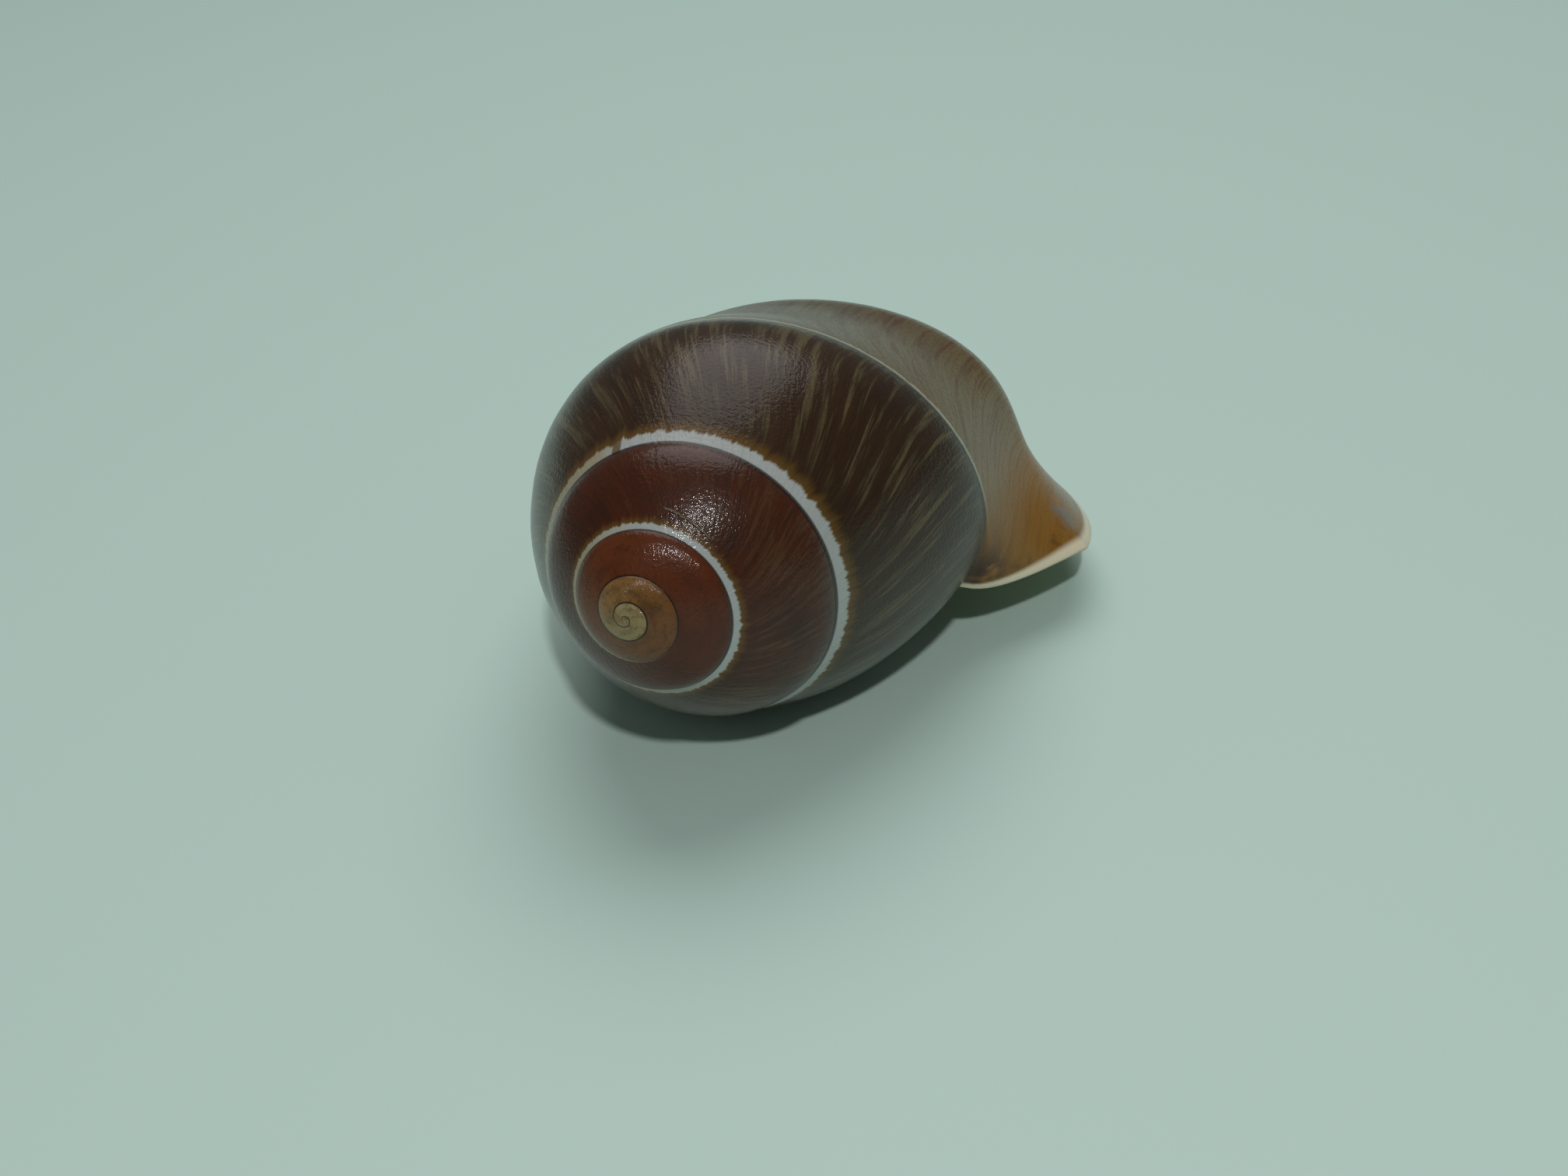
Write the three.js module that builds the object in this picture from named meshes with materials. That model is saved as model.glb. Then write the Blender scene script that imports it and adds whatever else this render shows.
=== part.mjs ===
// Land snail shell: a dextral, egg-shaped shell of five whorls with a widely flared lip.
// It lies mouth down on the worn belly of its last whorl, with its apex towards -Y.
// Millimetres, +Z up, origin at the middle of the base of the bounding box.
import * as THREE from 'three';
import { mergeVertices } from 'three/addons/utils/BufferGeometryUtils.js';

// ---------------------------------------------------------------- driving dimensions
// A place along the spiral is given in turns: 0 is where the lip meets the whorl before it,
// and whole turns back towards the apex are -1, -2 and so on.
const SUTURE_RADIUS = 10.4;      // axis to the seam between whorls, at turn 0
const SUTURE_DEPTH = 16.9;       // apex to that same point, along the axis
const RADIUS_GROWTH = [0.2162, -0.2648, -0.0805, -0.0098];   // powers of the turn, as logarithms
const DEPTH_GROWTH = [0.759, -0.3104, -0.1325, -0.0172];
const FIRST_TURN = -5.0;         // where the shell begins, at the apex
const CAVITY_TURN = -2.5;        // how far back the hollow is open

const WHORL_ROUNDNESS = 1.65;    // 1 is a straight-sided cone, 2 a well rounded whorl
const BASE_LENGTH = 0.68;        // base below the widest line, as a share of its radius
const BASE_GROWTH = 0.6;         // how fast that share shrinks back along the spiral
const BASE_FULLNESS = 1.9;       // 2 is a round base, less is more pointed
const COLUMELLA = 0.085;         // central pillar, as a share of the whorl's radius

const FLATNESS = 0.37;           // how much the body whorl is pressed flat, back to belly
const FLAT_FROM = 7.7;           // depth where the flattening starts
const FLAT_TO = 23.6;            // depth where it is complete

const WALL = 0.6;                // wall thickness
const LIP_WALL = 0.6;            // thickness of the lip's edge
const FLARE_TURNS = 0.19;        // the lip flares over this last part of a turn
const FLARE_POWER = 3.5;         // 1 flares at an even slope, more curls out towards the edge
const FLARE_FULLNESS = 0.53;     // less than 1 keeps the flare wide towards the seam
const FLARE_MIDDLE = 5.3;        // outward reach of the flare, half way round the lip
const FLARE_BASE = 2.35;         // and at its base, beside the columella
const LEAN_TURNS = 0.5;          // growth lines lean over this last part of a turn
const LEAN_MIDDLE = -0.027;      // turns that the middle of the lip stands back from the seam's end
const LEAN_BASE = 0.027;         // turns that its base runs on past it
const LEAN_POWER = 1.5;

const MOUTH_ANGLE = 146.2;       // degrees round the axis from the flat side to the lip
const ROLL = 182.2;              // degrees about the shell's own axis, as it lies
const APEX_RISE = 8.7;           // degrees that the apex end is raised
const BELLY_WEAR = 0.3;          // depth of the small flat worn on the belly, where the shell lies

// ---------------------------------------------------------------- fineness of the mesh
const STEPS_PER_TURN = 28;
const WHORL_ROWS = 7;
const BASE_ROWS = 9;
const PILLAR_ROWS = 2;

const SEAM_BAND = 0.1;           // width of the wall's foot on the whorl before it, across
const PROFILE_STEP = 0.01;       // short step across the outline that gives its slope
const WELD = 1e-4;               // points closer than this are one point

// ---------------------------------------------------------------- the spiral
function grow(turn, rates) {
  return Math.exp(rates.reduce((sum, rate, i) => sum + rate * turn ** (i + 1), 0));
}

function seam(turn) {
  return {
    radius: SUTURE_RADIUS * grow(turn, RADIUS_GROWTH),
    depth: SUTURE_DEPTH * grow(turn, DEPTH_GROWTH),
  };
}

// The whorl's outline in the plane through the axis. across is 0 at the upper seam, 1 at the
// lower seam, which is also the widest line of the last whorl, and 2 at the columella.
function outline(turn, across) {
  const upper = seam(turn);
  const lower = seam(turn + 1);
  if (across <= 1) {
    const out = 1 - (1 - across) ** WHORL_ROUNDNESS;
    return {
      radius: upper.radius + (lower.radius - upper.radius) * out,
      depth: upper.depth + (lower.depth - upper.depth) * across,
    };
  }
  const angle = (across - 1) * Math.PI / 2;
  const power = 2 / BASE_FULLNESS;
  const reach = BASE_LENGTH * Math.exp(BASE_GROWTH * turn) * lower.radius;
  const inward = Math.max(Math.cos(angle), 0) ** power;
  return {
    radius: lower.radius * (COLUMELLA + (1 - COLUMELLA) * inward),
    depth: lower.depth + reach * Math.sin(angle) ** power,
  };
}

function outwardNormal(turn, across) {
  const before = outline(turn, Math.max(across - PROFILE_STEP, 0));
  const after = outline(turn, Math.min(across + PROFILE_STEP, 2));
  const dr = after.radius - before.radius;
  const dh = after.depth - before.depth;
  const length = Math.hypot(dr, dh);
  return { radius: dh / length, depth: -dr / length };
}

// ---------------------------------------------------------------- the lip
function easeIn(turn, span, power) {
  return Math.max(1 + turn / span, 0) ** power;
}

function flare(turn, across) {
  const share = across / 2;
  const reach = FLARE_MIDDLE * Math.sin(Math.PI * share) ** FLARE_FULLNESS + FLARE_BASE * share ** 2;
  return reach * easeIn(turn, FLARE_TURNS, FLARE_POWER);
}

function lean(turn, across) {
  const share = across / 2;
  const shift = LEAN_MIDDLE * Math.sin(Math.PI * share) + LEAN_BASE * share ** LEAN_POWER;
  return shift * easeIn(turn, LEAN_TURNS, 2);
}

// ---------------------------------------------------------------- points on the walls
// The shell's own frame has the axis along Z with the apex up, X across and Y towards the belly.
function place(turn, radius, depth) {
  const angle = THREE.MathUtils.degToRad(MOUTH_ANGLE - 360 * turn);
  const pressed = FLATNESS * THREE.MathUtils.smoothstep(depth, FLAT_FROM, FLAT_TO);
  return new THREE.Vector3(
    radius * Math.cos(angle),
    radius * Math.sin(angle) * (1 - pressed),
    -depth,
  );
}

function wallPoint(turn, across, inset) {
  const leaning = turn + lean(turn, across);
  const point = outline(leaning, across);
  const normal = outwardNormal(leaning, across);
  const out = flare(turn, across) - inset;
  const radius = Math.max(point.radius + normal.radius * out, COLUMELLA * WALL);
  return place(leaning, radius, point.depth + normal.depth * out);
}

function outerPoint(turn, across) {
  return wallPoint(turn, across, 0);
}

function innerPoint(turn, across) {
  const lip = easeIn(turn, FLARE_TURNS, 2);
  return wallPoint(turn, across, WALL + (LIP_WALL - WALL) * lip);
}

function range(from, to, count) {
  return Array.from({ length: count + 1 }, (_, i) => from + (to - from) * i / count);
}

function turnsBetween(from, to) {
  return range(from, to, Math.round((to - from) * STEPS_PER_TURN));
}

const whorlAcross = range(0, 1, WHORL_ROWS);
const baseAcross = [1, ...range(1 + SEAM_BAND, 2, BASE_ROWS)];
const hiddenAcross = baseAcross.slice(1);
const fullAcross = [...whorlAcross, ...baseAcross.slice(1)];

// The hollow's outline: the whorl before, the columella, then the inside of the outer wall.
function hollowRing(turn) {
  const parietal = hiddenAcross.map((across) => outerPoint(turn - 1, across));
  const top = parietal[parietal.length - 1];
  const foot = innerPoint(turn, 2);
  const pillar = range(0, 1, PILLAR_ROWS).slice(1, -1).map((s) => top.clone().lerp(foot, s));
  const inside = fullAcross.slice(1).reverse().map((across) => innerPoint(turn, across));
  return [...parietal, ...pillar, ...inside, parietal[0]];
}

// ---------------------------------------------------------------- the closed surface
const corners = [];

function triangle(a, b, c) {
  corners.push(...a.toArray(), ...b.toArray(), ...c.toArray());
}

function sheet(rows) {
  for (let i = 0; i + 1 < rows.length; i += 1) {
    for (let j = 0; j + 1 < rows[i].length; j += 1) {
      triangle(rows[i][j], rows[i + 1][j], rows[i + 1][j + 1]);
      triangle(rows[i][j], rows[i + 1][j + 1], rows[i][j + 1]);
    }
  }
}

// Closes a loop of points with triangles to its middle.
function fan(loop) {
  const middle = loop.reduce((sum, p) => sum.add(p), new THREE.Vector3()).divideScalar(loop.length);
  loop.forEach((point, i) => triangle(middle, point, loop[(i + 1) % loop.length]));
}

function addOutside() {
  sheet(turnsBetween(FIRST_TURN, 0).map((t) => whorlAcross.map((across) => outerPoint(t, across))));
  sheet(turnsBetween(-1, 0).map((t) => baseAcross.map((across) => outerPoint(t, across))));
}

function addApex() {
  const firstSeam = turnsBetween(FIRST_TURN, FIRST_TURN + 1).map((t) => outerPoint(t, 0));
  const firstEdge = whorlAcross.slice(1, -1).map((across) => outerPoint(FIRST_TURN, across));
  fan([...firstEdge, ...firstSeam.reverse()]);
}

function addHollow() {
  const rings = turnsBetween(CAVITY_TURN, 0).map(hollowRing);
  sheet(rings);
  fan(rings[0].slice(0, -1));
}

function addLip() {
  const outer = fullAcross.map((across) => outerPoint(0, across));
  const inner = fullAcross.slice(1).map((across) => innerPoint(0, across));
  const seamFoot = outerPoint(-1, hiddenAcross[0]);
  sheet([outer, [seamFoot, ...inner]]);
}

function addColumella() {
  const spiral = turnsBetween(-1, 0).map((t) => outerPoint(t, 2));
  const ring = hollowRing(0);
  const first = hiddenAcross.length;
  const pillar = ring.slice(first, first + PILLAR_ROWS);
  fan([...spiral, ...pillar.reverse()]);
}

function buildShell() {
  addOutside();
  addApex();
  addHollow();
  addLip();
  addColumella();
  const loose = new THREE.BufferGeometry();
  loose.setAttribute('position', new THREE.Float32BufferAttribute(corners, 3));
  return mergeVertices(loose, WELD);
}

// ---------------------------------------------------------------- the shell as it lies
// Presses the lowest points of the shell, as it is turned to lie, up to one level.
function wearFlat(geometry, turned) {
  geometry.applyMatrix4(turned);
  geometry.computeBoundingBox();
  const level = geometry.boundingBox.min.z + BELLY_WEAR;
  const points = geometry.attributes.position;
  for (let i = 0; i < points.count; i += 1) points.setZ(i, Math.max(points.getZ(i), level));
  geometry.applyMatrix4(turned.clone().invert());
  geometry.computeVertexNormals();
  return geometry;
}

const aboutAxis = new THREE.Matrix4().makeRotationZ(THREE.MathUtils.degToRad(ROLL));
const ontoSide = new THREE.Matrix4().makeRotationX(THREE.MathUtils.degToRad(90 - APEX_RISE));
const shell = new THREE.Mesh(
  wearFlat(buildShell(), ontoSide.multiply(aboutAxis)),
  new THREE.MeshStandardMaterial({ color: 0x4a2e1c, roughness: 0.35, metalness: 0 }),
);
shell.name = 'shell';
shell.rotation.z = THREE.MathUtils.degToRad(ROLL);

const lying = new THREE.Group();
lying.rotation.x = THREE.MathUtils.degToRad(90 - APEX_RISE);
lying.add(shell);

const part = new THREE.Group();
part.add(lying);
part.updateMatrixWorld(true);
const box = new THREE.Box3().setFromObject(part, true);
lying.position.set(-(box.min.x + box.max.x) / 2, -(box.min.y + box.max.y) / 2, -box.min.z);

export default part;
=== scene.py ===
import math
import bmesh
import bpy
from mathutils import Euler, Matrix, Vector


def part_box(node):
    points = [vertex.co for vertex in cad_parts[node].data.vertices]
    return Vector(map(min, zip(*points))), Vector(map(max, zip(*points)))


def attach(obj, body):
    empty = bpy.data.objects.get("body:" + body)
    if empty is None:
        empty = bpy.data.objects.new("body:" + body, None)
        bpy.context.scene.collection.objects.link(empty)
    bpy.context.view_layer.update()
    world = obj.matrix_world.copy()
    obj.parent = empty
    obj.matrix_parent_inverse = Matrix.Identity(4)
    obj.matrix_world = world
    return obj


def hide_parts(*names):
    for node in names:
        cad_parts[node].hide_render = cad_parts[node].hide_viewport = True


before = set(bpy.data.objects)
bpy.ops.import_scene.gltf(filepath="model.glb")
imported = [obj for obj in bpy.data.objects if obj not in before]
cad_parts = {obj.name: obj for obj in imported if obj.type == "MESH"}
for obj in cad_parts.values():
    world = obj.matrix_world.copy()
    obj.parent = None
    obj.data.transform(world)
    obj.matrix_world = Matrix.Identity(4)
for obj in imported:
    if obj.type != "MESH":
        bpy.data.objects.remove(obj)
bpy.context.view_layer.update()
MM = 0.001

# ------------------------------------------------------------------ camera
# It stands close above the apex and looks down along the shell, so that the whole spiral
# shows and the turned-out lip stands behind it, to the right.
CAMERA_FROM_SHELL = Vector((27.48, -72.38, 41.37)) * MM
CAMERA_TURN = (58.32, 2.82, 19.80)
CAMERA_LENS = 44.4

shell_low, shell_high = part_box("shell")
shell_middle = (shell_low + shell_high) / 2
camera_data = bpy.data.cameras.new("camera")
camera_data.lens = CAMERA_LENS
camera_data.sensor_width = 36.0
camera_data.clip_start = 1 * MM
camera_data.clip_end = 5.0
camera = bpy.data.objects.new("camera", camera_data)
camera.location = shell_middle + CAMERA_FROM_SHELL
camera.rotation_euler = Euler([math.radians(a) for a in CAMERA_TURN])
bpy.context.scene.collection.objects.link(camera)
bpy.context.scene.camera = camera


# ------------------------------------------------------------------ surface and light
# A plain pale surface under the shell, a broad soft light above and behind it, and a small
# lamp over the camera's shoulder that picks out the gloss of the early whorls.
SURFACE_HALF = 2.0
SURFACE_COLOUR = (0.64, 0.84, 0.76, 1.0)
SURFACE_ROUGHNESS = 0.6
SKY_COLOUR = (0.80, 0.93, 0.90, 1.0)
SKY_STRENGTH = 0.12
SOFT_LIGHT = {"from": (-0.12, 0.42, 0.90), "away": 0.34, "width": 0.32, "power": 0.47}
LAMP = {"from": (0.28, -0.58, 0.76), "away": 0.36, "width": 0.020, "power": 0.38}

surface_mesh = bpy.data.meshes.new("surface")
signs = [(-1, -1), (1, -1), (1, 1), (-1, 1)]
surface_corners = [(x * SURFACE_HALF, y * SURFACE_HALF, 0.0) for x, y in signs]
surface_mesh.from_pydata(surface_corners, [], [(0, 1, 2, 3)])
surface = bpy.data.objects.new("surface", surface_mesh)
surface_material = bpy.data.materials.new("surface_matt")
surface_material.use_nodes = True
surface_shader = surface_material.node_tree.nodes["Principled BSDF"]
surface_shader.inputs["Base Color"].default_value = SURFACE_COLOUR
surface_shader.inputs["Roughness"].default_value = SURFACE_ROUGHNESS
surface_mesh.materials.append(surface_material)
bpy.context.scene.collection.objects.link(surface)

sky = bpy.data.worlds.new("soft_sky")
sky.use_nodes = True
sky_node = sky.node_tree.nodes["Background"]
sky_node.inputs["Color"].default_value = SKY_COLOUR
sky_node.inputs["Strength"].default_value = SKY_STRENGTH
bpy.context.scene.world = sky
bpy.context.scene.view_settings.view_transform = "Standard"

for light_name, light in (("soft_light", SOFT_LIGHT), ("lamp", LAMP)):
    lamp_data = bpy.data.lights.new(light_name, "AREA")
    lamp_data.shape = "DISK"
    lamp_data.size = light["width"]
    lamp_data.energy = light["power"]
    lamp = bpy.data.objects.new(light_name, lamp_data)
    towards_lamp = Vector(light["from"]).normalized()
    lamp.location = shell_middle + towards_lamp * light["away"]
    lamp.rotation_euler = towards_lamp.to_track_quat("Z", "Y").to_euler()
    bpy.context.scene.collection.objects.link(lamp)


# ------------------------------------------------------------------ shell: its growth
# A right-handed land snail shell, one piece of aragonite. The animal laid it down at the
# lip, turn by turn, so every point has a place along the spiral, turn, and a place across
# the whorl, from the seam over the widest line to the central pillar.
def feed(tree, value, socket):
    """Gives a socket its value: a measure, another node's output or a plain one."""
    if isinstance(value, Measure):
        tree.links.new(value.socket, socket)
    elif isinstance(value, bpy.types.NodeSocket):
        tree.links.new(value, socket)
    else:
        socket.default_value = value


class Measure:
    """A number that a node tree works out at each point, so that its sums read as sums."""

    def __init__(self, tree, socket):
        self.tree = tree
        self.socket = socket

    def worked(self, operation, *others):
        node = self.tree.nodes.new("ShaderNodeMath")
        node.operation = operation
        for place, value in enumerate((self, *others)):
            feed(self.tree, value, node.inputs[place])
        return Measure(self.tree, node.outputs[0])

    def __add__(self, other):
        return self.worked("ADD", other)

    def __sub__(self, other):
        return self.worked("SUBTRACT", other)

    def __mul__(self, other):
        return self.worked("MULTIPLY", other)

    def __truediv__(self, other):
        return self.worked("DIVIDE", other)

    def __pow__(self, other):
        return self.worked("POWER", other)

    def __rsub__(self, other):
        return self * -1.0 + other

    __radd__ = __add__
    __rmul__ = __mul__

    def at_least(self, other):
        return self.worked("MAXIMUM", other)

    def at_most(self, other):
        return self.worked("MINIMUM", other)

    def sine(self):
        return self.worked("SINE")

    def cosine(self):
        return self.worked("COSINE")

    def exponential(self):
        return self.worked("EXPONENT")

    def rounded(self):
        return self.worked("ROUND")

    def root(self):
        return self.worked("SQRT")

    def above(self, other):
        return self.worked("GREATER_THAN", other)

    def eased(self, low, high):
        """0 below low, 1 above high, and smooth between them; low may be the larger."""
        share = ((self - low) / (high - low)).at_least(0.0).at_most(1.0)
        return share * share * (3.0 - 2.0 * share)

    def mixed(self, other, share):
        """This number where share is 0, and other where share is 1."""
        return self + (other - self) * share


SIZES = {
    "Seam radius": 10.4,
    "Seam depth": 16.9,
    "Whorl roundness": 1.65,
    "Base length": 0.68,
    "Base fullness": 1.9,
    "Flatness": 0.37,
    "Wall": 0.6,
    "Lip wall": 0.6,
    "Flare middle": 5.3,
    "Flare base": 2.35,
    "Ridge height": 0.035,
    "Seam waver": 0.06,
}
RADIUS_GROWTH = (0.2162, -0.2648, -0.0805, -0.0098)
DEPTH_GROWTH = (0.759, -0.3104, -0.1325, -0.0172)
BASE_GROWTH = 0.6
COLUMELLA = 0.085
LEAST_RADIUS = COLUMELLA * 0.5
FLAT_FROM, FLAT_TO = 7.7, 23.6
FLARE_TURNS, FLARE_POWER, FLARE_FULLNESS = 0.19, 4.0, 0.53
LEAN_TURNS, LEAN_MIDDLE, LEAN_BASE, LEAN_POWER = 0.5, -0.027, 0.027, 1.5
MOUTH_ANGLE = 146.2
RIDGES, RIDGE_SLANT, RIDGE_BREAKS = 26.0, 1.5, 0.8
SEAM_FADE = 8.0
SEAM_WAVES = 9.0
SLOPE_STEP = 0.01


def new_group(name, inputs, outputs, vector_outputs=()):
    """A node group of numbers, its inputs as measures, and a function that sets an output."""
    tree = bpy.data.node_groups.new(name, "GeometryNodeTree")
    for label in inputs:
        tree.interface.new_socket(label, in_out="INPUT", socket_type="NodeSocketFloat")
    for label in outputs:
        tree.interface.new_socket(label, in_out="OUTPUT", socket_type="NodeSocketFloat")
    for label in vector_outputs:
        tree.interface.new_socket(label, in_out="OUTPUT", socket_type="NodeSocketVector")
    start = tree.nodes.new("NodeGroupInput")
    end = tree.nodes.new("NodeGroupOutput")
    given = {label: Measure(tree, start.outputs[label]) for label in inputs}
    return tree, given, end


def use_group(tree, group, values):
    """Places a group in a tree with these values, each a measure or a plain number."""
    node = tree.nodes.new("GeometryNodeGroup")
    node.node_tree = group
    for label, value in values.items():
        feed(tree, value, node.inputs[label])
    return node


def combined(tree, x, y, z):
    """Three measures or numbers as one vector."""
    node = tree.nodes.new("ShaderNodeCombineXYZ")
    for place, value in enumerate((x, y, z)):
        feed(tree, value, node.inputs[place])
    return node.outputs[0]


def grain(tree, x, y, z, detail=2.0, roughness=0.5):
    """Smooth, repeatable unevenness between 0 and 1, with its coarsest grain one unit wide."""
    node = tree.nodes.new("ShaderNodeTexNoise")
    node.inputs["Scale"].default_value = 1.0
    node.inputs["Detail"].default_value = detail
    node.inputs["Roughness"].default_value = roughness
    tree.links.new(combined(tree, x, y, z), node.inputs["Vector"])
    return Measure(tree, node.outputs[0])


def growth(turn, rates):
    power = (((turn * rates[3] + rates[2]) * turn + rates[1]) * turn + rates[0]) * turn
    return power.exponential()


def seam(tree, turn, given):
    """Distance from the axis, and depth below the apex, of the seam between two whorls."""
    waver = (grain(tree, turn * SEAM_WAVES, 0.0, 0.0) - 0.5) * given["Seam waver"]
    waver = waver * turn.eased(-3.0, -1.5)
    depth = given["Seam depth"] * growth(turn, DEPTH_GROWTH) + waver
    return given["Seam radius"] * growth(turn, RADIUS_GROWTH), depth


def make_outline_group():
    """The whorl's outline in the plane through the axis, at any turn."""
    tree, given, end = new_group("whorl outline", ["Turn", "Across", *SIZES], ["Radius", "Depth"])
    turn, across = given["Turn"], given["Across"]
    upper_radius, upper_depth = seam(tree, turn, given)
    lower_radius, lower_depth = seam(tree, turn + 1.0, given)
    on_whorl = across.at_most(1.0)
    outward = 1.0 - (1.0 - on_whorl) ** given["Whorl roundness"]
    whorl_radius = upper_radius.mixed(lower_radius, outward)
    whorl_depth = upper_depth.mixed(lower_depth, on_whorl)
    angle = (across - 1.0).at_least(0.0) * (math.pi / 2)
    power = (given["Base fullness"] * 0.5) ** -1.0
    inward = angle.cosine().at_least(0.0) ** power
    reach = given["Base length"] * (turn * BASE_GROWTH).exponential() * lower_radius
    radius = whorl_radius - lower_radius * (1.0 - inward) * (1.0 - COLUMELLA)
    depth = whorl_depth + reach * angle.sine().at_least(0.0) ** power
    tree.links.new(radius.socket, end.inputs["Radius"])
    tree.links.new(depth.socket, end.inputs["Depth"])
    return tree


def ease_in(turn, span, power):
    return (turn * (1.0 / span) + 1.0).at_least(0.0) ** power


def make_wall_group():
    """A point on the wall: inset 0 is its outside, and a larger inset goes into the wall."""
    tree, given, end = new_group(
        "wall point", ["Turn", "Across", "Inset", *SIZES], [], ["Position"])
    turn, across = given["Turn"], given["Across"]
    share = across * 0.5
    bow = (share * math.pi).sine().at_least(0.0)
    lean = bow * LEAN_MIDDLE + share ** LEAN_POWER * LEAN_BASE
    leaning = turn + lean * ease_in(turn, LEAN_TURNS, 2.0)
    sizes = {label: given[label] for label in SIZES}

    def outline_at(place):
        node = use_group(tree, outline_group, {"Turn": leaning, "Across": place, **sizes})
        return Measure(tree, node.outputs["Radius"]), Measure(tree, node.outputs["Depth"])

    radius, depth = outline_at(across)
    radius_before, depth_before = outline_at((across - SLOPE_STEP).at_least(0.0))
    radius_after, depth_after = outline_at((across + SLOPE_STEP).at_most(2.0))
    along_radius = radius_after - radius_before
    along_depth = depth_after - depth_before
    length = (along_radius * along_radius + along_depth * along_depth).root()

    flare = bow ** FLARE_FULLNESS * given["Flare middle"] + share * share * given["Flare base"]
    flare = flare * ease_in(turn, FLARE_TURNS, FLARE_POWER)
    ridge = grain(tree, turn * RIDGES + across * RIDGE_SLANT, across * RIDGE_BREAKS, 0.0) - 0.5
    below_seam = (across * SEAM_FADE).at_most(1.0)
    above_seam = ((1.0 - across) * SEAM_FADE).at_least(0.0).at_most(1.0)
    above_seam = above_seam.mixed(1.0, turn.eased(-1.0, -0.9))
    ridge = ridge * below_seam * above_seam * turn.eased(-3.5, -1.0)
    out = flare + ridge * given["Ridge height"] * 2.0 - given["Inset"]
    wall_radius = (radius + along_depth / length * out).at_least(LEAST_RADIUS)
    wall_depth = depth - along_radius / length * out

    angle = (MOUTH_ANGLE - 360.0 * leaning) * (math.pi / 180.0)
    pressed = given["Flatness"] * wall_depth.eased(FLAT_FROM, FLAT_TO)
    position = combined(
        tree,
        wall_radius * angle.cosine() * MM,
        wall_radius * angle.sine() * (1.0 - pressed) * MM,
        wall_depth * -MM,
    )
    tree.links.new(position, end.inputs["Position"])
    return tree


outline_group = make_outline_group()
wall_group = make_wall_group()


# ------------------------------------------------------------------ shell: its surface
# The outside, the hollow and the rim of the lip are sheets of small faces that follow the
# spiral and meet along their edges, so the shell is one closed skin with a real wall.
STEPS_PER_TURN = 180
WHORL_ROWS = 28
BASE_ROWS = 24
FOOT_ROWS = 2
PILLAR_ROWS = 2
RIM_ROWS = 8
ROWS = WHORL_ROWS + BASE_ROWS
SEAM_CROWDING = 1.3
FIRST_TURN = -5.5
CAVITY_TURN = -2.5
FOOT_WIDTH = FOOT_ROWS / BASE_ROWS
FOOT_ACROSS = 0.14
RIM_ROUNDNESS = 0.5
RIM_STEP = 0.01
FIRST_ROW = 1e-5
WELD = 1e-6
ROLL, APEX_RISE = 182.2, 8.7
APEX_PLACE = Vector((-1.372, -16.258, 10.291)) * MM
OUTSIDE, HOLLOW, PARIETAL, RIM = 0.0, 1.0, 2.0, 3.0

growth_tree = bpy.data.node_groups.new("shell growth", "GeometryNodeTree")
growth_tree.interface.new_socket("Geometry", in_out="INPUT", socket_type="NodeSocketGeometry")
growth_tree.interface.new_socket("Geometry", in_out="OUTPUT", socket_type="NodeSocketGeometry")
size_sockets = {}
for size_name, size in SIZES.items():
    size_socket = growth_tree.interface.new_socket(
        size_name, in_out="INPUT", socket_type="NodeSocketFloat")
    size_socket.default_value = size
    size_sockets[size_name] = size_socket.identifier
growth_start = growth_tree.nodes.new("NodeGroupInput")
growth_sizes = {name: Measure(growth_tree, growth_start.outputs[name]) for name in SIZES}
growth_join = growth_tree.nodes.new("GeometryNodeJoinGeometry")


def wall_point(turn, across, inset=0.0):
    values = {"Turn": turn, "Across": across, "Inset": inset, **growth_sizes}
    return use_group(growth_tree, wall_group, values).outputs["Position"]


def inside_point(turn, across):
    thicker = growth_sizes["Wall"].mixed(
        growth_sizes["Lip wall"], ease_in(turn, FLARE_TURNS, 2.0))
    return wall_point(turn, across, thicker)


def between(first, second, share):
    """The point part way from one position to another."""
    node = growth_tree.nodes.new("ShaderNodeMix")
    node.data_type = "VECTOR"
    factor, low, high = (s for s in node.inputs if s.enabled)
    growth_tree.links.new(share.socket, factor)
    growth_tree.links.new(first, low)
    growth_tree.links.new(second, high)
    return next(s for s in node.outputs if s.enabled)


def start_sheet(columns, rows):
    """A plain grid, and each of its points' shares along it and up it."""
    grid = growth_tree.nodes.new("GeometryNodeMeshGrid")
    grid.inputs["Size X"].default_value = 1.0
    grid.inputs["Size Y"].default_value = 1.0
    grid.inputs["Vertices X"].default_value = columns + 1
    grid.inputs["Vertices Y"].default_value = rows + 1
    place = growth_tree.nodes.new("GeometryNodeInputPosition")
    parts = growth_tree.nodes.new("ShaderNodeSeparateXYZ")
    growth_tree.links.new(place.outputs[0], parts.inputs[0])
    along = Measure(growth_tree, parts.outputs[0]) + 0.5
    upward = Measure(growth_tree, parts.outputs[1]) + 0.5
    return grid.outputs["Mesh"], along, upward


def store(geometry, name, kind, value):
    node = growth_tree.nodes.new("GeometryNodeStoreNamedAttribute")
    node.data_type = kind
    node.domain = "CORNER"
    node.inputs["Name"].default_value = name
    growth_tree.links.new(geometry, node.inputs["Geometry"])
    socket = next(s for s in node.inputs if s.name == "Value" and s.enabled)
    growth_tree.links.new(value, socket)
    return node.outputs["Geometry"]


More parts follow.
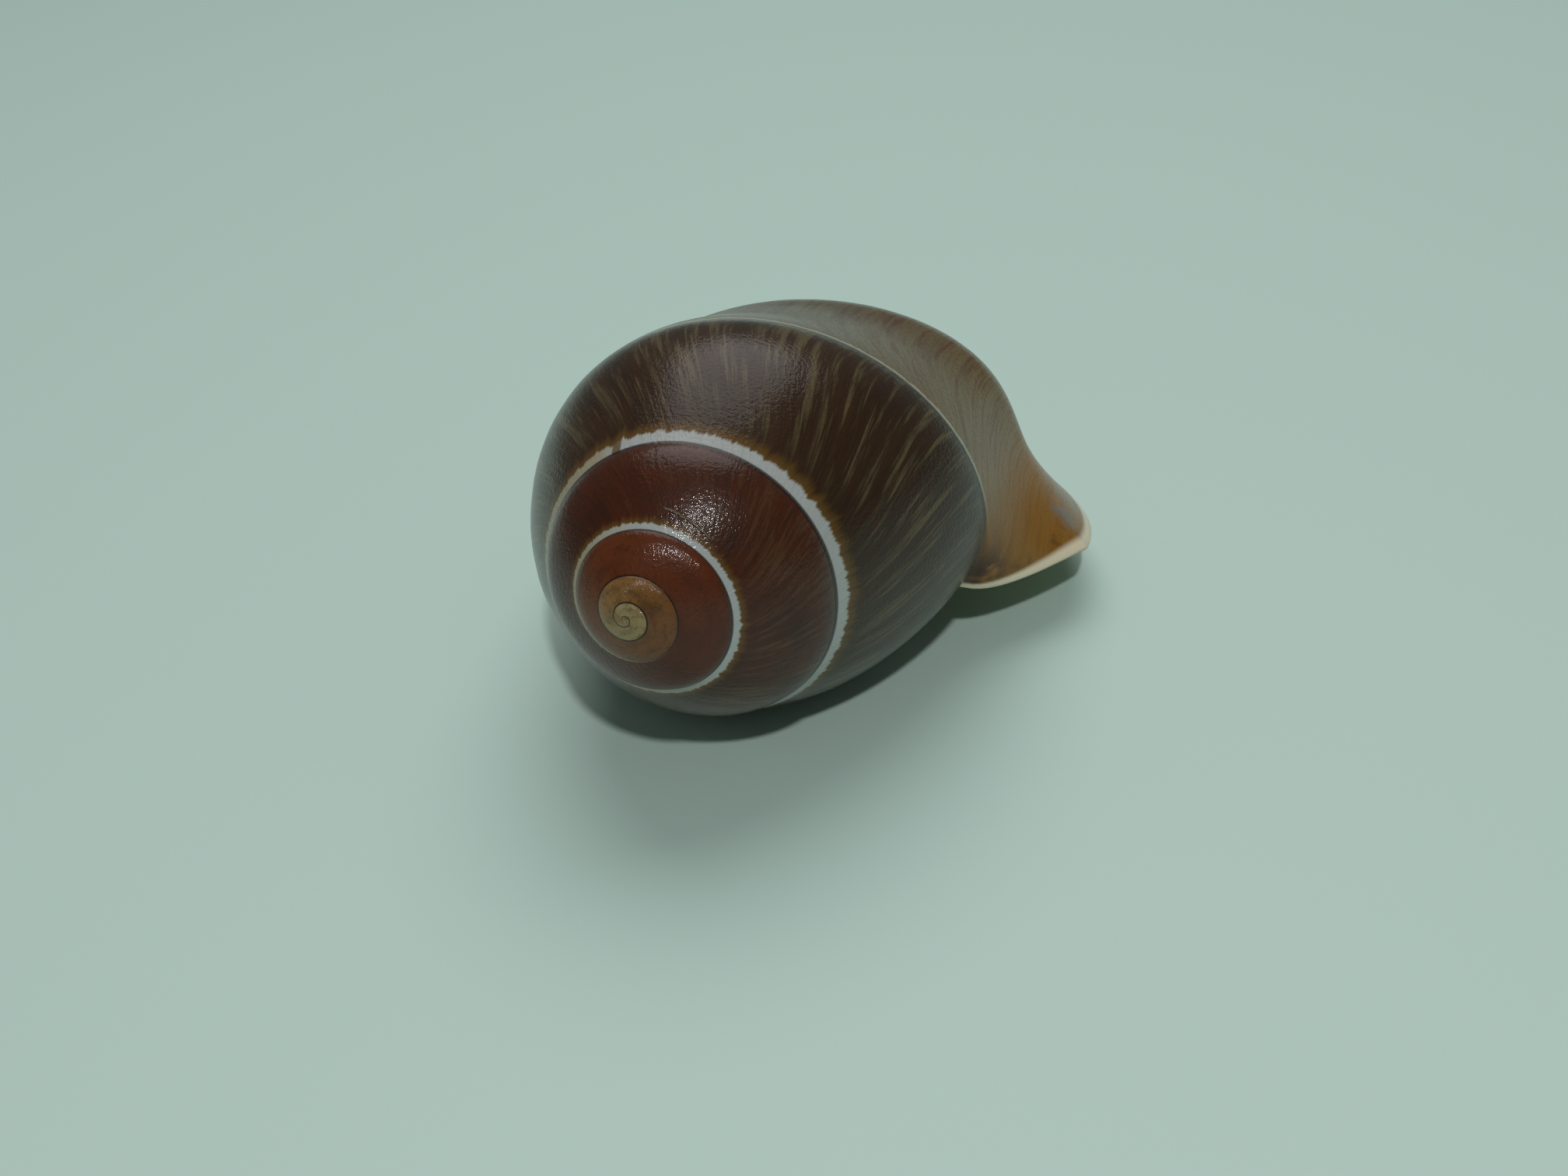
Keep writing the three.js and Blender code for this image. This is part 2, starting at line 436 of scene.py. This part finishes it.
def finish_sheet(mesh, turn, across, side, position, patch, along, upward):
    """Notes each corner's place on the shell and on the flat pattern, then moves the points."""
    geometry = store(mesh, "growth", "FLOAT_VECTOR", combined(growth_tree, turn, across, side))
    left, bottom, width, height = patch
    flat = combined(growth_tree, along * width + left, upward * height + bottom, 0.0)
    geometry = store(geometry, "OFBake", "FLOAT2", flat)
    move = growth_tree.nodes.new("GeometryNodeSetPosition")
    growth_tree.links.new(geometry, move.inputs["Geometry"])
    growth_tree.links.new(position, move.inputs["Position"])
    growth_tree.links.new(move.outputs["Geometry"], growth_join.inputs[0])


def full_across(upward):
    """From the seam to the pillar, with the rows crowded below the seam."""
    row = upward * float(ROWS)
    on_whorl = (row / float(WHORL_ROWS)).at_most(1.0) ** SEAM_CROWDING
    on_base = (row - float(WHORL_ROWS)).at_least(0.0) / float(BASE_ROWS)
    return on_whorl + on_base


def under_across(across):
    """The matching place on the inside of the wall, which starts beyond the wall's foot."""
    return across * ((2.0 - FOOT_ACROSS) / 2.0) + FOOT_ACROSS


def hollow_point(turn, across):
    """The inside of the outer wall; its first row is the wall's foot on the whorl before."""
    foot = wall_point(turn - 1.0, 1.0 + FOOT_WIDTH)
    return between(foot, inside_point(turn, under_across(across)), across.above(FIRST_ROW))


def steps(first, last):
    return round((last - first) * STEPS_PER_TURN)


def add_spire():
    mesh, along, upward = start_sheet(steps(FIRST_TURN, -1.0), WHORL_ROWS)
    turn = along * (-1.0 - FIRST_TURN) + FIRST_TURN
    across = upward ** SEAM_CROWDING
    patch = (0.01, 0.67, 0.98, 0.32)
    finish_sheet(mesh, turn, across, OUTSIDE, wall_point(turn, across), patch, along, upward)


def add_last_whorl():
    mesh, along, upward = start_sheet(STEPS_PER_TURN, ROWS)
    turn = along - 1.0
    across = full_across(upward)
    patch = (0.01, 0.01, 0.48, 0.64)
    finish_sheet(mesh, turn, across, OUTSIDE, wall_point(turn, across), patch, along, upward)


def add_parietal_wall():
    rows = BASE_ROWS - FOOT_ROWS
    mesh, along, upward = start_sheet(steps(CAVITY_TURN, 0.0), rows)
    turn = along * -CAVITY_TURN + (CAVITY_TURN - 1.0)
    across = upward * (1.0 - FOOT_WIDTH) + (1.0 + FOOT_WIDTH)
    patch = (0.50, 0.01, 0.24, 0.40)
    finish_sheet(mesh, turn, across, PARIETAL, wall_point(turn, across), patch, along, upward)


def add_pillar():
    mesh, along, upward = start_sheet(steps(CAVITY_TURN, 0.0), PILLAR_ROWS)
    turn = along * -CAVITY_TURN + CAVITY_TURN
    top = wall_point(turn - 1.0, 2.0)
    position = between(top, inside_point(turn, 2.0), upward)
    patch = (0.50, 0.42, 0.24, 0.10)
    finish_sheet(mesh, turn, 2.0, PARIETAL, position, patch, along, upward)


def add_hollow():
    mesh, along, upward = start_sheet(steps(CAVITY_TURN, 0.0), ROWS)
    turn = along * -CAVITY_TURN + CAVITY_TURN
    across = full_across(upward)
    patch = (0.75, 0.01, 0.24, 0.40)
    finish_sheet(mesh, turn, across, HOLLOW, hollow_point(turn, across), patch, along, upward)


def hollow_point_at_lip(across):
    return wall_point(0.0, under_across(across), growth_sizes["Lip wall"])


def rim_position(across, through):
    """From the outside edge of the lip over its rounded rim to the inside edge."""
    edge = wall_point(0.0, across)
    inner = hollow_point_at_lip(across)
    flat = between(edge, inner, through)
    half_wall = growth_sizes["Lip wall"] * 0.5
    ahead = growth_tree.nodes.new("ShaderNodeVectorMath")
    ahead.operation = "SUBTRACT"
    growth_tree.links.new(wall_point(0.0, across, half_wall), ahead.inputs[0])
    growth_tree.links.new(wall_point(-RIM_STEP, across, half_wall), ahead.inputs[1])
    unit = growth_tree.nodes.new("ShaderNodeVectorMath")
    unit.operation = "NORMALIZE"
    growth_tree.links.new(ahead.outputs[0], unit.inputs[0])
    bulge = growth_tree.nodes.new("ShaderNodeVectorMath")
    bulge.operation = "SCALE"
    growth_tree.links.new(unit.outputs[0], bulge.inputs[0])
    height = (through * math.pi).sine().at_least(0.0) * growth_sizes["Lip wall"]
    height = height * RIM_ROUNDNESS * MM
    growth_tree.links.new(height.socket, bulge.inputs["Scale"])
    rounded = growth_tree.nodes.new("ShaderNodeVectorMath")
    rounded.operation = "ADD"
    growth_tree.links.new(flat, rounded.inputs[0])
    growth_tree.links.new(bulge.outputs[0], rounded.inputs[1])
    foot_share = (through * float(FOOT_ROWS)).rounded() / float(FOOT_ROWS)
    foot = wall_point(-1.0, foot_share * FOOT_WIDTH + 1.0)
    return between(foot, rounded.outputs[0], across.above(FIRST_ROW))


def add_rim():
    mesh, along, upward = start_sheet(RIM_ROWS, ROWS)
    across = full_across(upward)
    patch = (0.50, 0.54, 0.24, 0.11)
    finish_sheet(mesh, along, across, RIM, rim_position(across, along), patch, along, upward)


def add_fan(columns, ring_at, middle, turn_at, across_at, side, patch):
    """Closes a ring of points on one middle point, as a sheet one row deep."""
    mesh, along, upward = start_sheet(columns, 1)
    turn, across = turn_at(along), across_at(along)
    position = between(ring_at(along), middle, upward)
    finish_sheet(mesh, turn, across, side, position, patch, along, upward)


def fixed(number):
    """A plain number as a measure of the growth tree."""
    node = growth_tree.nodes.new("ShaderNodeValue")
    node.outputs[0].default_value = number
    return Measure(growth_tree, node.outputs[0])


def add_apex():
    """The first half whorl closes on the tip of the axis."""
    tip = combined(growth_tree, 0.0, 0.0, 0.0)
    add_fan(
        STEPS_PER_TURN, lambda along: wall_point(along + FIRST_TURN, 0.0), tip,
        lambda along: along + FIRST_TURN, lambda along: 0.5, OUTSIDE, (0.75, 0.42, 0.11, 0.10))
    add_fan(
        WHORL_ROWS, lambda along: wall_point(FIRST_TURN, along ** SEAM_CROWDING), tip,
        lambda along: FIRST_TURN, lambda along: 0.5, OUTSIDE, (0.87, 0.42, 0.11, 0.10))


def add_hollow_end():
    """Where the hollow stops, deep in the spire."""
    turn = fixed(CAVITY_TURN)
    pillar_top = wall_point(CAVITY_TURN - 1.0, 2.0)
    middle = between(wall_point(CAVITY_TURN - 1.0, 1.5), inside_point(turn, 1.0), fixed(0.5))
    foot_start = 1.0 + FOOT_WIDTH
    rings = (
        (BASE_ROWS - FOOT_ROWS, 0.75, lambda along: wall_point(
            CAVITY_TURN - 1.0, along * (1.0 - FOOT_WIDTH) + foot_start)),
        (PILLAR_ROWS, 0.83, lambda along: between(pillar_top, inside_point(turn, 2.0), along)),
        (ROWS, 0.91, lambda along: hollow_point(turn, full_across(along))),
    )
    for columns, left, ring_at in rings:
        add_fan(columns, ring_at, middle, lambda along: CAVITY_TURN, lambda along: 1.0,
                HOLLOW, (left, 0.54, 0.07, 0.10))


def add_pillar_foot():
    """The lower end of the central pillar."""
    base = fixed(2.0)
    middle = between(wall_point(-1.0, 2.0), wall_point(0.0, 2.0), fixed(0.5))
    add_fan(
        STEPS_PER_TURN, lambda along: wall_point(along - 1.0, 2.0), middle,
        lambda along: along - 1.0, lambda along: 2.0, OUTSIDE, (0.50, 0.655, 0.15, 0.01))
    add_fan(
        RIM_ROWS, lambda along: rim_position(base, along), middle,
        lambda along: 0.0, lambda along: 2.0, RIM, (0.66, 0.655, 0.15, 0.01))
    add_fan(
        PILLAR_ROWS,
        lambda along: between(wall_point(-1.0, 2.0), inside_point(fixed(0.0), 2.0), along), middle,
        lambda along: 0.0, lambda along: 2.0, PARIETAL, (0.82, 0.655, 0.15, 0.01))


for add_part in (add_spire, add_last_whorl, add_parietal_wall, add_pillar, add_hollow, add_rim,
                 add_apex, add_hollow_end, add_pillar_foot):
    add_part()

shell_material = bpy.data.materials.new("shell_material")
weld = growth_tree.nodes.new("GeometryNodeMergeByDistance")
weld.inputs["Distance"].default_value = WELD
growth_tree.links.new(growth_join.outputs[0], weld.inputs["Geometry"])
rolled = growth_tree.nodes.new("GeometryNodeTransform")
rolled.inputs["Rotation"].default_value = (0, 0, math.radians(ROLL))
growth_tree.links.new(weld.outputs["Geometry"], rolled.inputs["Geometry"])
laid = growth_tree.nodes.new("GeometryNodeTransform")
laid.inputs["Rotation"].default_value = (math.radians(90 - APEX_RISE), 0, 0)
laid.inputs["Translation"].default_value = APEX_PLACE
growth_tree.links.new(rolled.outputs["Geometry"], laid.inputs["Geometry"])

# No point is lower than the surface, so the belly is flat where the shell lies.
lowest = growth_tree.nodes.new("ShaderNodeVectorMath")
lowest.operation = "MAXIMUM"
lowest.inputs[1].default_value = (-SURFACE_HALF, -SURFACE_HALF, 0.0)
lying_place = growth_tree.nodes.new("GeometryNodeInputPosition")
growth_tree.links.new(lying_place.outputs[0], lowest.inputs[0])
worn = growth_tree.nodes.new("GeometryNodeSetPosition")
growth_tree.links.new(laid.outputs["Geometry"], worn.inputs["Geometry"])
growth_tree.links.new(lowest.outputs[0], worn.inputs["Position"])
smooth = growth_tree.nodes.new("GeometryNodeSetShadeSmooth")
growth_tree.links.new(worn.outputs["Geometry"], smooth.inputs["Geometry"])
realized = growth_tree.nodes.new("GeometryNodeRealizeInstances")
growth_tree.links.new(smooth.outputs["Geometry"], realized.inputs["Geometry"])
painted = growth_tree.nodes.new("GeometryNodeSetMaterial")
painted.inputs["Material"].default_value = shell_material
growth_tree.links.new(realized.outputs["Geometry"], painted.inputs["Geometry"])
growth_end = growth_tree.nodes.new("NodeGroupOutput")
growth_tree.links.new(painted.outputs["Geometry"], growth_end.inputs["Geometry"])

grown = bpy.data.objects.new("grown", bpy.data.meshes.new("grown"))
bpy.context.scene.collection.objects.link(grown)
growing = grown.modifiers.new("growth", "NODES")
growing.node_group = growth_tree
for size_name, size in SIZES.items():
    growing[size_sockets[size_name]] = size
bpy.context.view_layer.update()
evaluated = grown.evaluated_get(bpy.context.evaluated_depsgraph_get())
shell_mesh = bpy.data.meshes.new_from_object(evaluated)
bpy.data.objects.remove(grown)

skin = bmesh.new()
skin.from_mesh(shell_mesh)
bmesh.ops.recalc_face_normals(skin, faces=skin.faces)
skin.to_mesh(shell_mesh)
skin.free()
shell = bpy.data.objects.new("snail_shell", shell_mesh)
bpy.context.scene.collection.objects.link(shell)
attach(shell, "root")
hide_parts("shell")


# ------------------------------------------------------------------ shell: its colours
# The colour was laid down with the shell, so it follows the spiral: a cream first whorl,
# mahogany, then olive brown and a paler last whorl, under one clear glossy skin. The dark
# line in the seams is painted shade, and the pale line on the scar is a painted highlight.
def paint(red, green, blue):
    """A colour as it looks on a screen, 0 to 255, as the light values that shaders take."""
    return (*(((level / 255 + 0.055) / 1.055) ** 2.4 for level in (red, green, blue)), 1.0)


AGE_COLOURS = (
    (-5.5, paint(162, 146, 104)),
    (-4.75, paint(156, 132, 86)),
    (-4.45, paint(148, 108, 60)),
    (-4.15, paint(122, 78, 38)),
    (-3.85, paint(116, 72, 36)),
    (-3.45, paint(108, 52, 22)),
    (-2.9, paint(84, 35, 16)),
    (-2.0, paint(73, 34, 16)),
    (-1.5, paint(62, 39, 21)),
    (-1.0, paint(52, 37, 19)),
    (-0.72, paint(84, 70, 50)),
    (-0.35, paint(100, 88, 70)),
    (-0.15, paint(118, 94, 52)),
    (-0.04, paint(146, 98, 36)),
)
BAND_WHITE = paint(196, 202, 202)
BAND_CREAM = paint(182, 174, 150)
BAND_FRINGE = paint(108, 78, 32)
SEAM_SHADOW = paint(30, 19, 14)
STREAK_PALE = paint(120, 106, 74)
STREAK_DARK = paint(46, 27, 16)
STREAK_RED = paint(96, 50, 30)
LIP_CREAM = paint(252, 232, 202)
LIP_OCHRE = paint(152, 104, 26)
LIP_BROWN = paint(58, 28, 18)
LIP_GREY = paint(112, 118, 118)
HOLLOW_OLIVE = paint(84, 88, 54)
HOLLOW_DARK = paint(50, 48, 32)
CALLUS = paint(140, 126, 78)
LIP_YELLOW = paint(206, 202, 140)
BAND_WIDTH, LATE_BAND_WIDTH, FIRST_BAND_WIDTH = 0.058, 0.042, 0.012
STREAKS, MIDDLE_STREAKS, FINE_STREAKS = 40.0, 120.0, 280.0
STREAK_SLANT = 0.07
GREYING = (-1.1, -0.55)
STREAKS_START, DARK_STREAKS_START = (-2.6, -1.5), (-3.3, -2.4)
BAND_START, BAND_END = (-3.1, -2.75), (-0.05, -0.14)
BAND_WIDENS, BAND_NARROWS = (-3.0, -2.45), (-1.1, -0.75)
SEAM_LINE, FIRST_SEAM_LINE = 0.011, 0.046
OCHRE_START, RIM_CREAM_START = (-0.13, -0.03), (-0.008, -0.003)
CHIP_TURN, CHIP_HALF = -1.40, 0.007
SCAR_START, SCAR_END = -2.31, -2.21
GRAINS_PER_MM = 6.5
SURFACE_RELIEF = 0.045 * MM
INNER_GLOSS = 0.15
SKIN, SKIN_IOR, SKIN_ROUGHNESS = 0.55, 1.4, 0.07

shell_material.use_nodes = True
shades = shell_material.node_tree
shell_shader = shades.nodes["Principled BSDF"]


def tinted(under, over, mask):
    """The colour under, covered by the colour over where mask is 1."""
    node = shades.nodes.new("ShaderNodeMix")
    node.data_type = "RGBA"
    factor, first, second = (socket for socket in node.inputs if socket.enabled)
    feed(shades, mask, factor)
    feed(shades, under, first)
    feed(shades, over, second)
    return next(socket for socket in node.outputs if socket.enabled)


def on_side(side):
    """1 on this side of the wall, and 0 on the others."""
    return 1.0 - ((place_side - side) * (place_side - side)).at_most(1.0)


growth_note = shades.nodes.new("ShaderNodeAttribute")
growth_note.attribute_name = "growth"
growth_parts = shades.nodes.new("ShaderNodeSeparateXYZ")
shades.links.new(growth_note.outputs["Vector"], growth_parts.inputs[0])
place_turn, place_across, place_side = (Measure(shades, growth_parts.outputs[i]) for i in range(3))

age_ramp = shades.nodes.new("ShaderNodeValToRGB")
age_stops = age_ramp.color_ramp.elements
for number, (turn, colour) in enumerate(AGE_COLOURS):
    stop = age_stops[number] if number < 2 else age_stops.new(1.0)
    stop.position = (turn - FIRST_TURN) / -FIRST_TURN
    stop.color = colour
age = (place_turn - FIRST_TURN) / -FIRST_TURN
shades.links.new(age.socket, age_ramp.inputs[0])

object_place = shades.nodes.new("ShaderNodeTexCoord")
object_parts = shades.nodes.new("ShaderNodeSeparateXYZ")
shades.links.new(object_place.outputs["Object"], object_parts.inputs[0])
grain_place = [Measure(shades, object_parts.outputs[i]) * (GRAINS_PER_MM / MM) for i in range(3)]
fine_grain = grain(shades, *grain_place, 2.0, 0.65)

# Pale, dark and reddish streaks follow the growth lines, which lean back from the seam. The
# third number of each grain is its own, so that no two patterns match.
slanted = place_turn + (place_across * (math.pi / 2)).sine() * STREAK_SLANT
streaks = grain(shades, slanted * STREAKS, place_across * 0.9, 0.0, 2.0, 0.6)
middle_streaks = grain(shades, slanted * MIDDLE_STREAKS, place_across * 1.6, 9.0, 3.0, 0.6)
fine_streaks = grain(shades, slanted * FINE_STREAKS, place_across * 3.0, 3.0, 3.0, 0.6)
cloudy = grain(shades, place_turn * 9.0, place_across * 2.5, 7.0, 2.0)
late = place_turn.eased(*GREYING)
streaked = place_turn.eased(*STREAKS_START)
pale_streak = (streaks * 0.16 + middle_streaks * 0.42 + fine_streaks * 0.42).eased(0.48, 0.60)
pale_streak = pale_streak * streaked * place_across.eased(0.05, 0.3)
dark_streak = (streaks * 0.5 + middle_streaks * 0.5).eased(0.52, 0.40)
dark_streak = dark_streak * place_turn.eased(*DARK_STREAKS_START)
red_streak = (middle_streaks * 0.4 + fine_streaks * 0.6).eased(0.50, 0.40)
outside = tinted(age_ramp.outputs[0], STREAK_DARK, dark_streak * (0.4 - 0.2 * late))
outside = tinted(outside, STREAK_PALE, pale_streak * 0.55)
outside = tinted(outside, STREAK_RED, red_streak * (0.15 + 0.45 * late))
outside = tinted(outside, STREAK_DARK, cloudy.eased(0.42, 0.72) * (0.45 - 0.45 * late))
outside = tinted(outside, STREAK_DARK, fine_grain.eased(0.50, 0.72) * 0.4)

# The pale band below the seam, its ragged ochre fringe and the chip in it.
notches = grain(shades, place_turn * 90.0, 0.0, 11.0, 4.0, 0.7)
band_width = place_turn.eased(*BAND_WIDENS) * (BAND_WIDTH - FIRST_BAND_WIDTH)
band_width = band_width + FIRST_BAND_WIDTH
band_width = band_width + place_turn.eased(*BAND_NARROWS) * (LATE_BAND_WIDTH - BAND_WIDTH)
band_edge = band_width * (0.2 + 1.6 * notches)
banded = place_turn.eased(*BAND_START) * place_turn.eased(*BAND_END)
chip_gap = (place_turn - CHIP_TURN) * (1.0 / CHIP_HALF)
chipped = (chip_gap * chip_gap).eased(1.0, 0.3)
fringe = place_across.eased(band_edge * 2.2, band_edge) * banded
band = place_across.eased(band_edge * 1.15, band_edge * 0.85) * banded * (1.0 - 0.85 * chipped)
bleached = place_turn.eased(-1.43, -1.39) * (1.0 - late)
bleached = bleached + place_turn.eased(-2.5, -2.3) * place_turn.eased(-1.8, -2.0)
band_colour = tinted(BAND_CREAM, BAND_WHITE, bleached)
outside = tinted(outside, BAND_FRINGE, fringe * (0.85 - 0.45 * late))
outside = tinted(outside, band_colour, band * (0.55 + 0.45 * fine_streaks))

# Painted shade: the dark line in the seam itself stands for the shade that falls in the seam's
# crease.
seam_shade_width = place_turn.eased(-2.5, -4.5) * (FIRST_SEAM_LINE - SEAM_LINE) + SEAM_LINE
outside = tinted(outside, SEAM_SHADOW, place_across.eased(seam_shade_width * 1.3, seam_shade_width * 0.5) * 0.9)
# Painted shade along the lowest rows of the whorl, just above the next seam's crease.
seam_shade_above = place_across.eased(0.968, 0.985) * place_turn.eased(-0.995, -1.005)
outside = tinted(outside, SEAM_SHADOW, seam_shade_above * 0.8)

# A crooked healed scar on the whorl before the last but one: its ridge is a bump, and its pale line
# is a painted highlight along that ridge.
scar_way = (place_turn - SCAR_START) * (1.0 / (SCAR_END - SCAR_START))
scar_gap = (place_across - scar_way * -0.07 - 0.20 - (notches - 0.5) * 0.05) * 80.0
scar_ridge_and_highlight = (scar_gap * scar_gap).eased(1.0, 0.0) * scar_way.eased(0.0, 0.1) * scar_way.eased(1.0, 0.9)
# Painted highlight: the pale tint stands for the light caught along the scar's ridge.
outside = tinted(outside, STREAK_PALE, scar_ridge_and_highlight * 0.8)

# The flare turns ochre, with a grey patch and brown spots, and ends in the cream of the rim.
near_lip = place_turn.eased(*OCHRE_START)
outside = tinted(outside, LIP_OCHRE, near_lip * 0.75 * (0.55 + 0.9 * (cloudy - 0.2)).at_most(1.0))
blotch = grain(shades, place_turn * 55.0, place_across * 7.0, 21.0, 3.0)
grey_patch = place_turn.eased(-0.036, -0.026) * place_turn.eased(-0.008, -0.016)
grey_patch = grey_patch * place_across.eased(0.80, 0.92) * place_across.eased(1.25, 1.1)
outside = tinted(outside, LIP_GREY, grey_patch * blotch.eased(0.36, 0.56) * 0.75)
spot = place_turn.eased(-0.075, -0.02) * place_across.eased(0.26, 0.04) * blotch.eased(0.3, 0.5)
outside = tinted(outside, LIP_BROWN, spot * 0.95)
outside = tinted(outside, LIP_BROWN, place_turn.eased(-0.022, -0.008) * blotch.eased(0.5, 0.7) * 0.6)
outside = tinted(outside, LIP_CREAM, place_turn.eased(*RIM_CREAM_START))

# The inside is olive, yellow towards the lip, with a thin callus on the whorl before.
striae = grain(shades, place_turn * 150.0, place_across * 1.2, 5.0, 3.0)
inside_colour = tinted(HOLLOW_DARK, HOLLOW_OLIVE, striae.eased(0.35, 0.6))
inside_colour = tinted(inside_colour, LIP_YELLOW, place_turn.eased(-0.085, -0.04) * 0.95)
callus_colour = tinted(HOLLOW_DARK, CALLUS, place_turn.eased(-1.35, -1.02) * (0.5 + 0.5 * striae))
callus_colour = tinted(callus_colour, LIP_BROWN, place_turn.eased(-1.012, -1.004) * 0.7)
rim_line = place_turn.eased(0.14, 0.24) * place_turn.eased(0.50, 0.36)
rim_colour = tinted(LIP_CREAM, LIP_OCHRE, rim_line * (0.35 + 0.65 * blotch))
surface_colour = tinted(outside, inside_colour, on_side(HOLLOW))
surface_colour = tinted(surface_colour, callus_colour, on_side(PARIETAL))
surface_colour = tinted(surface_colour, rim_colour, on_side(RIM))
shades.links.new(surface_colour, shell_shader.inputs["Base Color"])

# Fine grain, growth lines and the scar stand up a little and break up the gloss.
relief = fine_grain * 0.5 + fine_streaks * 0.25 + middle_streaks * 0.35 + scar_ridge_and_highlight * 2.0
roughness = 0.24 + 0.14 * late + 0.10 * cloudy + 0.10 * fine_grain
shades.links.new(roughness.socket, shell_shader.inputs["Roughness"])
bump = shades.nodes.new("ShaderNodeBump")
bump.inputs["Strength"].default_value = 1.0
bump.inputs["Distance"].default_value = SURFACE_RELIEF
shades.links.new(relief.socket, bump.inputs["Height"])
shades.links.new(bump.outputs["Normal"], shell_shader.inputs["Normal"])
shades.links.new(bump.outputs["Normal"], shell_shader.inputs["Coat Normal"])
shell_shader.inputs["Specular IOR Level"].default_value = INNER_GLOSS
shell_shader.inputs["Coat Weight"].default_value = SKIN
shell_shader.inputs["Coat IOR"].default_value = SKIN_IOR
shell_shader.inputs["Coat Roughness"].default_value = SKIN_ROUGHNESS
